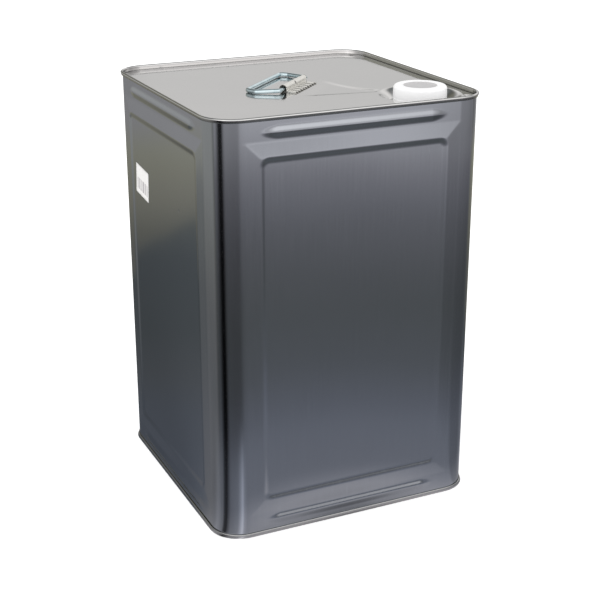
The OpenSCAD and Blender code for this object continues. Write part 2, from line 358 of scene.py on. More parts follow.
wireLook = {
    "color": (0.70, 0.82, 0.86), "dull": (0.58, 0.70, 0.74), "roughness": 0.08,
    "patchScale": 160.0, "patchAt": (0.35, 0.62), "roughAt": (0.3, 0.6), "rough": (0.16, 0.06),
    "drawnScale": 1400, "drawnHeight": 0.01, "drawnStrength": 0.6,
}
plastic = {
    "mottleScale": 220.0, "mottleAt": (0.3, 0.6), "roughAt": (0.3, 0.7), "rough": (0.08, -0.04),
    "fineScale": 1500.0,
}
capLook = {
    "color": (0.93, 0.93, 0.935), "roughness": 0.34, "speck": 0.015,
    "disc": (0.57, 0.56, 0.565), "radius": 13.8, "soft": 0.5,
    "discBelow": 0.8,  # the disc lies within this depth below the cap's top
    "paintedGlow": 0.13,  # painted light: the white outside glows by this much, so that its sides look brighter
}


def zincWire(name, look):
    material, tree, shader = newMaterial(name, look["color"], 1.0, look["roughness"])
    drawn = addNoise(tree, stretched(tree, (look["drawnScale"],) * 3), 1.0, 2.0)
    patches = addNoise(tree, stretched(tree), look["patchScale"], 3.0)
    feed(tree, shader, addSpread(tree, patches, look["patchAt"], (look["dull"], look["color"])),
         addSpread(tree, patches, look["roughAt"], look["rough"]),
         addBump(tree, drawn, look["drawnHeight"], look["drawnStrength"]))
    return material


def mouldedPlastic(name, color, roughness, speck=0.03, bump=0.01):
    # satin moulded plastic: faint mottling, and dust that sits as slightly darker specks
    p = plastic
    material, tree, shader = newMaterial(name, color, 0.0, roughness)
    mottle = addNoise(tree, stretched(tree), p["mottleScale"], 4.0)
    shade = tuple(channel * (1 - 2 * speck) for channel in color)
    rough = [roughness + more for more in p["rough"]]
    fine = addNoise(tree, stretched(tree), p["fineScale"], 2.0)
    feed(tree, shader, addSpread(tree, mottle, p["mottleAt"], (shade, color)),
         addSpread(tree, mottle, p["roughAt"], rough), addBump(tree, fine, bump))
    return material, tree, shader


def capPlastic(name, look):
    # white, with a duller grey disc in the sunk middle of the top
    material, tree, shader = mouldedPlastic(name, look["color"], look["roughness"], look["speck"])
    spot = objectSpot(tree)
    level = addNode(tree, "VectorMath", {0: spot, 1: (1, 1, 0)}, operation="MULTIPLY").outputs[0]
    away = awayFrom(tree, level, Vector((mouthX, mouthY, 0)) * mm)
    above = addNode(tree, "SeparateXYZ", {0: spot}).outputs[2]
    inside = addNode(tree, "MapRange", {0: away, 1: (look["radius"] - look["soft"]) * mm,
                     2: (look["radius"] + look["soft"]) * mm, 3: 1.0, 4: 0.0}).outputs[0]
    inside = product(tree, inside,
                     addMath(tree, "GREATER_THAN", above, (capHigh.z - look["discBelow"]) * mm))
    plain = shader.inputs["Base Color"].links[0].from_socket
    feed(tree, shader, addMix(tree, inside, plain, (*look["disc"], 1)))
    # painted light: the cap glows white outside its grey disc, as if lit more brightly
    shader.inputs["Emission Color"].default_value = grey(1)
    tree.links.new(product(tree, addMath(tree, "SUBTRACT", 1.0, inside), look["paintedGlow"]),
                   shader.inputs["Emission Strength"])
    return material


shadedBodyTin = rolledTin("shadedBodyTin", shadedBodyTinLook)
lidTin = rolledTin("lidTin", lidTinLook)
bracketTin = rolledTin("bracketTin", bracketTinLook)
wireZinc = zincWire("zincWire", wireLook)
capWhite = capPlastic("capWhite", capLook)
neckWhite = mouldedPlastic("neckWhite", (0.90, 0.90, 0.89), 0.4)[0]
linerFoam = mouldedPlastic("linerFoam", (0.8, 0.8, 0.77), 0.75, 0.05, 0.05)[0]
gasketRubber = mouldedPlastic("gasketRubber", (0.72, 0.72, 0.70), 0.62, 0.06, 0.03)[0]
sealRubber = mouldedPlastic("sealRubber", (0.10, 0.095, 0.09), 0.6, 0.1, 0.03)[0]
print("stage: materials made")


# Body: one sheet with its pressings, a bead above and below a framed panel on each side

pressing = {
    "frameEnd": 19.5,  # the frame's distance from the can's top and bottom
    "slope": 12.0, "rise": 0.9, "step": 3.5, "round": 0.9, "innerRound": 7.0,
    "beadIn": 11.0,  # a bead's distance from the corners
    "beadWide": 9.0, "beadFlank": 4.05, "beadRise": 1.2, "beadRound": 0.6,
    "beadEnd": 12.5,  # and its middle's from the can's top and bottom
    "beadTaper": 15.0,
    "slack": 0.16, "slackSize": 70, "slackSeeds": (7.3, 1.7), "calm": (30.0, 3.0),
    "lapWide": 3.0, "lapProud": 0.12,
}
# spacing of the body's points: finer over the frame and the beads than on the flat panel
bodyGrid = {
    "coarse": 14.0, "fine": 0.95, "fineIn": 16, "lapHalf": 2.1, "lapFine": 0.6,
    "foot": 1, "footFine": 1.5, "beadFrom": 7, "beadFine": 0.8, "frameTo": 40,
}


def pressedHeight(side, u, z):
    p = pressing
    crestHalf = flatHalf - p["slope"]
    middle = canHigh / 2
    crestHigh = middle - p["frameEnd"] - p["slope"]
    edge = min(flatHalf - abs(u), middle - p["frameEnd"] - abs(z - middle))
    across = abs(u) - crestHalf + p["innerRound"]
    upward = abs(z - middle) - crestHigh + p["innerRound"]
    inside = p["innerRound"] - math.hypot(max(across, 0), max(upward, 0)) - min(max(across, upward), 0)
    height = p["rise"] * softRamp(edge, p["slope"], p["round"])
    height *= 1 - softRamp(inside, p["step"], p["round"])
    # a bead narrows and sinks towards its ends
    fromBead = abs(middle - abs(z - middle) - p["beadEnd"])
    fullness = min(1.0, max(0.0, (flatHalf - p["beadIn"] - abs(u)) / p["beadTaper"]))
    half = p["beadWide"] / 2 * math.sqrt(fullness)
    height += p["beadRise"] * hump(fullness) * softRamp(half - fromBead, p["beadFlank"], p["beadRound"])
    perSide, first = p["slackSeeds"]
    calm = softRamp(inside - p["step"], *p["calm"])
    height += p["slack"] * calm * ripple(u, z, 0, p["slackSize"], perSide * side + first)
    if side == 2 and abs(u) < p["lapWide"] / 2 and can["seamHigh"] < z < canHigh - can["seamHigh"]:
        height += p["lapProud"]
    return height


def makeBody():
    g = bodyGrid
    inner = flatHalf - pressing["slope"] - g["fineIn"]
    fine = lines((inner, flatHalf, g["fine"]))
    plain = lines((-inner, inner, g["coarse"]))
    lap = lines((-g["lapHalf"], g["lapHalf"], g["lapFine"]))
    sides = [sorted({*fine, *plain, *[-u for u in fine], *(lap if side == 2 else ())})
             for side in range(4)]
    stations = squareStations(sides, [can["cornerSteps"]] * 4)
    low = lines((can["sheet"] + g["foot"], g["beadFrom"], g["footFine"]),
                (g["beadFrom"], g["frameTo"], g["beadFine"]))
    heights = sorted({*low, *[round(canHigh - z, 4) for z in low],
                      *lines((g["frameTo"], canHigh - g["frameTo"], g["coarse"]))})

    def place(i, j):
        side, u, turned = stations[i]
        point, normal = stationPoint(stations[i], wallHalf)
        z = heights[j]
        if turned == 0.0:
            point = point + normal * pressedHeight(side, u, z)
        return (point.x, point.y, z)

    bm = gridSheet(len(stations), len(heights), place, closed=True)
    finishPiece("canBody", bm, "can", shadedBodyTin, ["body_shell"], can["sheet"])


makeBody()


# Ends: a panel from its middle out to the wall, then up and over as the double seam

seamProfile = {
    "lead": 0.3,  # last stretch of the flat panel
    "groove": 0.6,  # radius of the groove at the foot of the wall
    "grooveEdge": 0.4,  # rounding from the panel into the groove
    "lean": 0.16,  # how far the wall leans in towards its top
    "wallTop": 0.3,  # from the crown's foot down to the wall's points
    "wallHigh": 2.4,  # and how far these reach
    "crown": 1.3,  # height of the seam's rounded top
    "shoulder": 1.3,  # rounding of its outer edge
    "lip": 0.5,  # rounding of the seam's lower edge
    "tuck": 0.62,  # how far the lower edge is tucked in
    "end": (-1.45, 0.35),  # the sheet's end, from the seam's lower outer corner
}
# where an end's tin is darkened as painted shade and made duller: strengths, distances and the (width,
# rounding) of their fading
endShade = {
    "outside": 0.62, "outsideIn": 0.9, "outsideDown": 1.1, "inFade": (0.25, 0.1), "downFade": (0.3, 0.1),
    "groove": 0.8, "grooveDown": 0.15, "grooveFrom": 2.4, "grooveTo": 5.0, "grooveFade": (0.1, 0.05),
}


def seamPoints():
    # (outward from the lid's wall, height below the seam's edge), from the panel to the lip
    p = seamProfile
    wide = seamHalf - lidHalf
    groove, edge, foot, crown = p["groove"], p["grooveEdge"], p["lean"], p["crown"]
    points = [(foot - 2 * groove - edge - p["lead"], -can["sink"])]
    points += arc((foot - 2 * groove - edge, -can["sink"] - edge), edge, 90, 0, 4)
    points += arc((foot - groove, -can["sink"] - edge), groove, 180, 360, 10)
    points += [(foot * share, -crown - p["wallTop"] - p["wallHigh"] * share) for share in (0.9, 0.6, 0.3)]
    points += arc((crown, -crown), crown, 180, 90, 8)
    points += arc((wide - p["shoulder"], -p["shoulder"]), p["shoulder"], 80, 0, 6)
    points += arc((wide - p["tuck"] - p["lip"], -can["seamHigh"] + p["lip"]), p["lip"], -10, -110, 6)
    return points + stepsFrom((wide, -can["seamHigh"]), [p["end"]])


def makeEnd(centre, rings, fractions, sideLines, cornerSteps, panelHeight, upsideDown):
    # rings: (radius, height) about the centre; fractions: from the last ring out to the groove
    stations = squareStations(sideLines, cornerSteps)
    seam = seamPoints()
    edgeHalf = lidHalf + seam[0][0]
    axis = Vector(centre)
    lastRadius = rings[-1][0]

    def place(i, j):
        point, normal = stationPoint(stations[i], edgeHalf)
        away = (point - axis).normalized()
        if j < len(rings):
            radius, z = rings[j]
            spot = axis + away * radius
        elif j < len(rings) + len(fractions):
            share = fractions[j - len(rings)]
            spot = (axis + away * lastRadius).lerp(point, share)
            z = panelHeight(spot.x, spot.y, share)
        else:
            outward, below = seam[j - len(rings) - len(fractions)]
            spot = point + normal * (outward - seam[0][0])
            z = canHigh + below - lidZ
        z += lidZ
        return (spot.x, spot.y, canHigh - z if upsideDown else z)

    rows = len(rings) + len(fractions) + len(seam)
    bm = gridSheet(len(stations), rows, place, closed=True, turnOver=not upsideDown)
    # painted shade: the outside of the seam and the groove at the foot of the wall are darkened, and made
    # duller
    s = endShade
    paintedShade = bm.verts.layers.float.new("paintedShade")
    for vert in bm.verts:
        x, y, z = vert.co / mm
        outward = math.hypot(max(abs(x) - flatHalf, 0), max(abs(y) - flatHalf, 0)) - (seamHalf - flatHalf)
        down = z if upsideDown else canHigh - z
        outside = softRamp(outward + s["outsideIn"], *s["inFade"])
        outside *= softRamp(down - s["outsideDown"], *s["downFade"])
        groove = softRamp(down - can["sink"] - s["grooveDown"], *s["downFade"])
        groove *= softRamp(-outward - s["grooveFrom"], *s["grooveFade"])
        groove *= softRamp(outward + s["grooveTo"], *s["grooveFade"])
        vert[paintedShade] = max(s["outside"] * outside, s["groove"] * groove)
    return bm


lid = {
    "wellRim": 35.0, "wellFloor": 25.0, "wellDeep": 6.0, "wellBowl": 1.6, "wellRound": 0.7, "hole": 19.8,
    "slack": 0.10, "slackSize": 60.0, "slackSeed": 3.1, "slackLow": 0.4,
    "calmIn": (0.3, 0.05), "calmOut": (0.2, 0.05),  # shares of the panel that fade to no slack
    "axisFrom": (-4.3, -7.9),  # the funnel runs from the handle to the mouth
    "funnelStart": 17.0, "funnelEnd": 70.0, "funnelDeep": 0.6, "funnelLip": 0.45,
    "crease": (3.2, 0.8), "lipFade": (9.0, 2.0), "endRound": 4.0, "wellFade": (3.0, 0.5),
    "leftEdge": (7.5, 0.0095),  # half width at the well, growth with the square of the distance
    "rightEdge": (3.0, 0.62),  # half width at the well, growth with the distance
}
# spacing of the lid's points: finer beside the well and across its bends
lidGrid = {
    "plain": 6.0, "coarse": 6.5, "fine": 2.3, "fineFrom": 20, "cornerSteps": 24,
    "floor": 1.9, "bendHalf": 1.2, "bend": 0.3, "side": 1.2, "rimIn": 1.6, "rim": 0.2,
    "shares": ((0.0, 0.30, 0.0085), (0.30, 1.0, 0.04)),
}
base = {"slack": 0.12, "slackSize": 70, "slackSeed": 9.4, "slackLow": 0.5, "centre": 0.02,
        "shares": (0.03, 1.0, 0.04)}


def funnelDepth(x, y):
    # a shallow funnel pressed between the handle and the well, narrowing to the well
    f = lid
    start = Vector(f["axisFrom"])
    axis = (Vector((mouthX, mouthY)) - start).normalized()
    offset = Vector((x, y)) - start
    along = offset.dot(axis)
    aside = axis.x * offset.y - axis.y * offset.x
    left = max(0.0, f["funnelEnd"] - along)
    (wideLeft, growLeft), (wideRight, growRight) = f["leftEdge"], f["rightEdge"]
    edge = wideLeft + growLeft * left * left if aside > 0 else wideRight + growRight * left
    into = softRamp(edge - abs(aside), *f["crease"])
    lip = softRamp(along - f["funnelStart"], *f["lipFade"])
    run = softRamp(along - f["funnelStart"], f["funnelEnd"] - f["funnelStart"], f["endRound"])
    return into * (f["funnelLip"] * lip + (f["funnelDeep"] - f["funnelLip"]) * run)


def lidHeight(x, y, share):
    calm = softRamp(share, *lid["calmIn"]) * softRamp(1 - share, *lid["calmOut"])
    slack = ripple(x, y, 0, lid["slackSize"], lid["slackSeed"]) - lid["slackLow"]
    away = (Vector((x, y)) - Vector((mouthX, mouthY))).length - lid["wellRim"]
    return lid["slack"] * calm * slack - funnelDepth(x, y) * softRamp(away, *lid["wellFade"])


def baseHeight(x, y, share):
    slack = ripple(x, y, 0, base["slackSize"], base["slackSeed"]) - base["slackLow"]
    return base["slack"] * slack * softRamp(1 - share, *lid["calmOut"])


def wellDepth(r):
    slope = lid["wellRim"] - lid["wellRound"] - lid["wellFloor"]
    share = softRamp(r - lid["wellFloor"], slope, lid["wellRound"])
    return lid["wellDeep"] * (1 - share) ** lid["wellBowl"]


def makeTop():
    g = lidGrid
    beside = lines((-flatHalf, g["fineFrom"], g["coarse"]), (g["fineFrom"], flatHalf, g["fine"]))
    plain = lines((-flatHalf, flatHalf, g["plain"]))
    sides = [beside, sorted(-u for u in beside), plain, plain]
    low, high, rim = lid["wellFloor"] - g["bendHalf"], lid["wellFloor"] + g["bendHalf"], lid["wellRim"]
    radii = lines((lid["hole"], low, g["floor"]), (low, high, g["bend"]), (high, rim - g["rimIn"], g["side"]),
                  (rim - g["rimIn"], rim, g["rim"]))
    rings = [(r, -wellDepth(r)) for r in radii]
    steps = [g["cornerSteps"]] + [can["cornerSteps"]] * 3
    bm = makeEnd((mouthX, mouthY), rings, lines(*g["shares"])[1:-1], sides, steps, lidHeight, False)
    finishPiece("canLid", bm, "can", lidTin, ["top_end"], can["sheet"])


def makeBottom():
    plain = lines((-flatHalf, flatHalf, lidGrid["plain"]))
    bm = makeEnd((0, 0), [(base["centre"], 0.0)], lines(base["shares"])[:-1], [plain] * 4,
                 [can["cornerSteps"]] * 4, baseHeight, True)
    finishPiece("canBase", bm, "can", lidTin, ["bottom_end"], can["sheet"])


makeTop()
makeBottom()


# Handle: a rolled tin bracket and a bent wire bail. Local axes: u along the barrel, v to the bail

handle = {
    "pivot": (-1.6, -7.5, 348.58), "turn": 44.0, "wire": 4.0,
    "barrel": (-27.0, 20.5), "tin": 0.5, "clear": 0.08,
    "roomy": 0.45,  # how much wider than its wire the barrel is rolled
    "roll": (196, -90),  # from the plate round to the lid, in degrees
    "plateFrom": 3.4, "plateBend": [(0.3, 0.12), (0.55, 0.45)], "plateIn": (2.0, -1.0),
    "plateShift": (-4.0, -2.5), "plateEndsAt": (2.0, 1.5), "reach": 13.0,
    "underFrom": 0.8, "underShort": 0.6,
    "ribs": 5, "ribWide": 3.4, "ribHigh": 0.6, "ribFrom": 3.6, "ribShort": 1.0, "ribFade": 1.6,
    "teeth": 9, "toothDeep": 1.5, "toothFrom": 0.7, "edgeDrop": 0.35, "dropFrom": 0.9, "sheared": 1.0,
    "crimpAt": (-5.0, -2.3, 2.0), "crimp": 0.9, "crimpFade": (0.8, 0.2),
    "endDark": 0.9, "darkFade": (0.5, 0.1), "toothDark": 0.25, "darkTo": 3,
    # painted shade beside the ribs and at the barrel's foot, by this much
    "creaseShade": 0.8, "besideShare": 0.4, "besideFade": (0.7, 0.2), "footAt": 3.5, "footFade": (0.5, 0.2),
    "columns": 96, "plateSteps": 16, "rollSteps": 26, "underSteps": 6,
}


def fromHandle(u, v, w):
    turn = Matrix.Rotation(math.radians(handle["turn"]), 3, "Z")
    return Vector(handle["pivot"]) + turn @ Vector((u, v, w))


def bracketEnds(v):
    # the two ends of the barrel, or of the plate that runs out from it
    h = handle
    start, over = h["plateEndsAt"]
    flat = hump((-v - start) / over)
    out = max(0.0, -v) / h["reach"]
    return [end + flat * (inward + shift * out)
            for end, inward, shift in zip(h["barrel"], h["plateIn"], h["plateShift"])]


def tooth(share):
    return abs(math.sin(math.pi * share * handle["teeth"]))


def ribDistances(share, wide):
    # from that share of the plate's width to each rib's middle
    count = handle["ribs"]
    return [abs(share - (k + 1) / (count + 1)) * wide for k in range(count)]


def plateRise(share, v, wide, edge):
    # the ribs on the plate, and its far edge that is bent down
    h = handle
    across = max(1 - away / (h["ribWide"] / 2) for away in ribDistances(share, wide))
    ends = min((v + h["reach"] - h["ribShort"]) / h["ribFade"], (-h["ribFrom"] - v) / h["ribFade"])
    bent = max(0.0, edge - h["dropFrom"]) / (1 - h["dropFrom"])
    return h["ribHigh"] * hump(across) * hump(ends) - h["edgeDrop"] * bent


def bracketDark(spot):
    # painted shade in the barrel's open ends, at its foot and beside the ribs; also darker along the sheared
    # far edge and at a crimp on the barrel
    h = handle
    u, v = spot.xy
    near, far = bracketEnds(v)
    share = (u - near) / (far - near)
    notch = tooth(share)
    sheared = softRamp(-v - h["reach"] + h["toothDeep"] * notch + h["sheared"], *h["darkFade"])
    values = [(h["toothDark"] + (1 - h["toothDark"]) * notch) * sheared]
    if v > -h["darkTo"]:
        fromCrimp = (spot - Vector(h["crimpAt"])).length - h["crimp"]
        values += [softRamp(h["endDark"] - min(u - near, far - u), *h["darkFade"]),
                   1 - softRamp(fromCrimp, *h["crimpFade"])]
    else:
        beside = min(ribDistances(share, far - near)) - h["ribWide"] * h["besideShare"]
        values += [h["creaseShade"] * (1 - softRamp(abs(beside), *h["besideFade"])),
                   h["creaseShade"] * (1 - softRamp(abs(v + h["footAt"]), *h["footFade"]))]
    return max(values)


def makeBracket():
    h = handle
    outer = h["wire"] / 2 + h["clear"] + h["tin"]
    top = 2 * h["tin"] - outer
    start, end = -h["plateFrom"], -h["reach"]
    path = [(v, top) for v in between(end, start, h["plateSteps"])]
    path += stepsFrom((start, top), h["plateBend"])
    path += arc((0, h["roomy"]), outer + h["roomy"], *h["roll"], h["rollSteps"])
    path += [(v, -outer) for v in between(-h["underFrom"], end + h["underShort"], h["underSteps"])]
    columns = between(0, 1, h["columns"])

    def place(i, j):
        share = columns[i]
        v, w = path[j]
        near, far = bracketEnds(v)
        if v < start:
            edge = (v - start) / (end - start)
            if w == top:
                w += plateRise(share, v, far - near, edge)
            v += h["toothDeep"] * tooth(share) * max(0.0, edge - h["toothFrom"]) / (1 - h["toothFrom"])
        return fromHandle(near + (far - near) * share, v, w)

    bm = gridSheet(len(columns), len(path), place)
    # painted shade in the bracket's hollows, kept per point
    paintedShade = bm.verts.layers.float.new("paintedShade")
    turnBack = Matrix.Rotation(math.radians(-h["turn"]), 3, "Z")
    for vert in bm.verts:
        vert[paintedShade] = bracketDark(turnBack @ (vert.co / mm - Vector(h["pivot"])))
    finishPiece("handleBracket", bm, "can", bracketTin, ["handle_bracket"], h["tin"])


bailShape = {
    "wire": 3.6, "right": [(26.0, 0.0), (35.7, 19.9), (35.0, 27.7)],
    "left": [(-37.3, 27.1), (-41.0, 17.8), (-34.0, 0.0)],
    "bend": 3.6, "droop": 0.65, "droopOver": 14.0, "bendSteps": 10, "sides": 20,
}


def bailLine():
    # centre line and heading of the closed loop, corners rounded by arcs
    b = bailShape
    corners = [Vector(point) for point in b["right"] + b["left"]]
    stops = []
    for k, corner in enumerate(corners):
        before = (corner - corners[k - 1]).normalized()
        after = (corners[(k + 1) % len(corners)] - corner).normalized()
        turn = -before.angle_signed(after)
        trim = b["bend"] * math.tan(turn / 2)
        start = corner - before * trim
        centre = start + Vector((-before.y, before.x)) * b["bend"]
        heading = math.atan2(before.y, before.x)
        for share in between(0, 1, b["bendSteps"]):
            angle = heading + share * turn
            spot = centre + Vector((math.sin(angle), -math.cos(angle))) * b["bend"]
            stops.append((spot, angle))
    return stops + [stops[0]]


def makeBail():
    stops = bailLine()
    sides = bailShape["sides"]
    radius = bailShape["wire"] / 2

    def place(i, j):
        spot, angle = stops[j]
        around = 2 * math.pi * (i % sides) / sides
        side = radius * math.cos(around)
        droop = bailShape["droop"] * hump(spot.y / bailShape["droopOver"])
        return fromHandle(spot.x + side * math.sin(angle), spot.y - side * math.cos(angle),
                          radius * math.sin(around) - droop)

    bm = gridSheet(sides + 1, len(stops), place, closed=True)
    bmesh.ops.recalc_face_normals(bm, faces=bm.faces)
    finishPiece("wireBail", bm, "bail", wireZinc, ["bail"])


makeBracket()
makeBail()


# Mouth: neck, gasket and liner, and the screw cap

mouth = {
    "neckRadius": 19.6, "neckWall": 2.0, "neckHigh": 11.6, "flangeWide": 2.2, "flange": 1.0,
    "gasket": 0.8, "gasketWide": 2.0, "gasketFlat": 0.2, "touch": 0.04, "beadWide": 1.6,
    "liner": 0.6, "linerCut": 0.1, "capWall": 1.8, "capTop": 1.2, "capRound": 2.6, "capDraft": 0.08,
    "discRadius": 14.0, "discDeep": 0.4, "steps": 120,
}
# edges that are rounded, as (outward, upward) steps from each corner
neckEdges = {
    "beadIn": [(0, 0.3), (0.3, 0)], "beadOut": [(-0.3, 0), (0, 0.3)],
    "flangeLow": [(-0.2, 0), (0, 0.25)], "flangeHigh": [(0, -0.3), (-0.3, 0)],
    "neckFoot": [(0.3, 0), (0, 0.3)],
    "rimOut": [(0, -0.5), (-0.15, -0.15), (-0.5, 0)], "rimIn": [(0.5, 0), (0.15, -0.15), (0, -0.5)],
}
capEdges = {
    "underTop": [(-0.6, 0), (-0.15, -0.2), (0, -0.7)], "insideFoot": [(0, 0.25), (0.25, 0)],
    "outsideFoot": [(-0.35, 0), (-0.1, 0.1), (0, 0.35)],
    "ring": [(0, 1.3), (-0.12, 1.45), (-0.12, 1.6), (-0.02, 1.75)],
    "discEdge": [(1.1, 0), (0.75, -0.04), (0.45, -0.15)], "discFoot": [(0.2, 0.08), (-0.1, 0)],
}
dome = (0.05, 0.08)  # rise of the disc halfway in and at its middle
wellZ = lidZ - lid["wellDeep"]


def turnedPiece(name, profile, body, material, replaced):
    bm = lathe(profile, (mouthX, mouthY), mouth["steps"])
    finishPiece(name, bm, body, material, replaced)


def makeNeck():
    m, e = mouth, neckEdges
    outer = m["neckRadius"]
    bore, flangeOut, beadOut = outer - m["neckWall"], outer + m["flangeWide"], outer + m["beadWide"]
    flangeLow = wellZ + m["gasket"] + m["touch"]
    flangeHigh = flangeLow + m["flange"]
    rim = wellZ + m["neckHigh"]
    beadHigh = wellZ - can["sheet"] - m["touch"]
    beadLow = beadHigh - m["flange"]
    profile = stepsFrom((bore, beadLow), e["beadIn"]) + stepsFrom((beadOut, beadLow), e["beadOut"])
    profile += [(beadOut, beadHigh), (outer, beadHigh), (outer, flangeLow)]
    profile += stepsFrom((flangeOut, flangeLow), e["flangeLow"])
    profile += stepsFrom((flangeOut, flangeHigh), e["flangeHigh"])
    profile += stepsFrom((outer, flangeHigh), e["neckFoot"])
    profile += stepsFrom((outer, rim), e["rimOut"]) + stepsFrom((bore, rim), e["rimIn"])
    turnedPiece("mouthNeck", profile + profile[:1], "can", neckWhite, ["mouth_neck"])


def makeCap():
    m, e = mouth, capEdges
    outer = capHigh.x - mouthX
    inner = outer - m["capWall"]
    low, high = capLow.z, capHigh.z
    under = high - m["capTop"]
    disc, sunk = m["discRadius"], high - m["discDeep"]
    profile = [(0, under)] + stepsFrom((inner, under), e["underTop"])
    profile += stepsFrom((inner, low), e["insideFoot"])
    profile += stepsFrom((outer, low), e["outsideFoot"] + e["ring"])
    profile += arc((outer - m["capDraft"] - m["capRound"], high - m["capRound"]), m["capRound"], 0, 90, 12)
    profile += stepsFrom((disc, high), e["discEdge"]) + stepsFrom((disc, sunk), e["discFoot"])
    profile += [(disc * 0.5, sunk + dome[0]), (0, sunk + dome[1])]
    turnedPiece("screwCap", profile, "screw_cap", capWhite, ["screw_cap"])


def makeLiner():
    m = mouth
    low = wellZ + m["neckHigh"] + m["touch"]
    high = low + m["liner"]
    edge, cut = m["neckRadius"], m["linerCut"]
    profile = [(0, low), (edge - cut, low), (edge, low + cut),
               (edge, high - cut), (edge - cut, high), (0, high)]
    turnedPiece("capLiner", profile, "cap_liner", linerFoam, ["cap_liner"])


def makeGasket():
    m = mouth
    inner = lid["hole"]
    outer = inner + m["gasketWide"]
    half = m["gasket"] / 2
    flat, high = outer - m["gasketFlat"], wellZ + m["gasket"]
    profile = [(inner, wellZ), (flat, wellZ)]
    profile += arc((outer - half, wellZ + half), half, -60, 60, 6)
    profile += [(flat, high), (inner, high), (inner, wellZ)]
    turnedPiece("neckGasket", profile, "can", gasketRubber, ["neck_gasket"])


makeNeck()
makeGasket()
makeLiner()
makeCap()
for nodeName in ("top_seam_compound", "bottom_seam_compound"):
    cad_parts[nodeName].data.materials.clear()
    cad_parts[nodeName].data.materials.append(sealRubber)
print("stage: mouth, cap and seam compound")


# Sticker on the left side, with a plain generic pattern of bars

sticker = {
    "wide": 31.7, "high": 26.0, "thick": 0.12, "y": 53.7, "z": 261.8, "tilt": 5.5, "across": 13, "along": 11,
    "glue": 0.02,  # between the paper and the wall
    "curlFrom": 1.75, "curl": 0.25,
    "paper": (0.79, 0.78, 0.765), "ink": (0.30, 0.28, 0.30), "roughness": 0.55,
    "fibre": 900.0, "shade": 0.95, "paperAt": (0.3, 0.65), "roughAt": (0.3, 0.7), "rough": (0.48, 0.62),
    "fibreInk": 0.25, "fibreBump": 0.01,
    "bars": 46.0, "barShare": 0.18, "groups": 6.3, "gap": 0.30, "dark": 0.66,
    "printed": ((0.11, 0.93), (0.16, 0.55)),  # shares of the width and the height
}


def stickerPaper():
    s = sticker
    material, tree, shader = newMaterial("stickerPaper", s["paper"], 0.0, s["roughness"])
    uv = addNode(tree, "UVMap", uv_map="label").outputs[0]
    across, up = addNode(tree, "SeparateXYZ", {0: uv}).outputs[:2]
    step = addMath(tree, "FLOOR", product(tree, across, s["bars"]))
    dice = addNode(tree, "TexWhiteNoise", {"W": step}, noise_dimensions="1D").outputs[0]
    bar = addMath(tree, "GREATER_THAN", dice, s["barShare"])
    group = addMath(tree, "FRACT", product(tree, across, s["groups"]))
    bar = product(tree, bar, addMath(tree, "GREATER_THAN", group, s["gap"]))
    for value, (low, high) in zip((across, up), s["printed"]):
        bar = product(tree, bar, addMath(tree, "GREATER_THAN", value, low))
        bar = product(tree, bar, addMath(tree, "LESS_THAN", value, high))
    fibre = addNoise(tree, stretched(tree), s["fibre"], 4.0)
    paper = addSpread(tree, fibre, s["paperAt"], (tuple(c * s["shade"] for c in s["paper"]), s["paper"]))
    ink = product(tree, bar, addMath(tree, "ADD", product(tree, fibre, s["fibreInk"]), s["dark"]))
    rough = addSpread(tree, fibre, s["roughAt"], s["rough"])
    feed(tree, shader, addMix(tree, ink, paper, (*s["ink"], 1)), rough,
         addBump(tree, fibre, s["fibreBump"]))
    return material


def makeSticker():
    s = sticker
    across, along = s["across"], s["along"]
    turn = Matrix.Rotation(math.radians(s["tilt"]), 3, "X")

    def place(i, j):
        # seen from outside, +u runs towards -y
        u, w = (i / (across - 1) - 0.5) * s["wide"], (j / (along - 1) - 0.5) * s["high"]
        corner = max(0.0, abs(u) / s["wide"] * 2 + abs(w) / s["high"] * 2 - s["curlFrom"])
        lift = s["thick"] + s["curl"] * corner
        return Vector((-wallHalf - lift - s["glue"], s["y"], s["z"])) + turn @ Vector((0, -u, w))

    bm = gridSheet(across, along, place)
    layer = bm.loops.layers.uv.new("label")
    back = turn.inverted()
    for face in bm.faces:
        for loop in face.loops:
            local = back @ (loop.vert.co / mm - Vector((0, s["y"], s["z"])))
            loop[layer].uv = (0.5 - local.y / s["wide"], 0.5 + local.z / s["high"])
    finishPiece("barSticker", bm, "can", stickerPaper(), ["label_sticker"], s["thick"])


makeSticker()


# Studio: a plain pale floor, soft light all round, and what the tin reflects

studio = {
    "floorSize": 9.0, "floorColor": (0.95, 0.95, 0.95), "floorRough": 0.9, "floorGlow": 0.4,
    "lightLow": 1.45, "lightHigh": 0.85,
    "cardRadius": 2.6, "cardZ": -0.001,  # metres
    "corner": (-0.1, -0.1), "nearTo": (0.20, 0.38), "farFrom": (1.3, 1.55),
    "shadeEdge": (0.6145, 0.789, -0.3256),  # the line ax + by + c = 0 where the back floor brightens
    "shadeSoft": 0.01, "floorSoft": 0.06, "skySoft": 0.45,
    "levelOver": 0.1, "lowToHigh": (0.03, 0.15), "highToTop": (0.5, 0.7),
}
# how much of the left floor is seen behind: direction in degrees, share
leftShare = [(-180, 1.0), (-120, 0.0), (112, 0.0), (126, 1.0), (180, 1.0)]
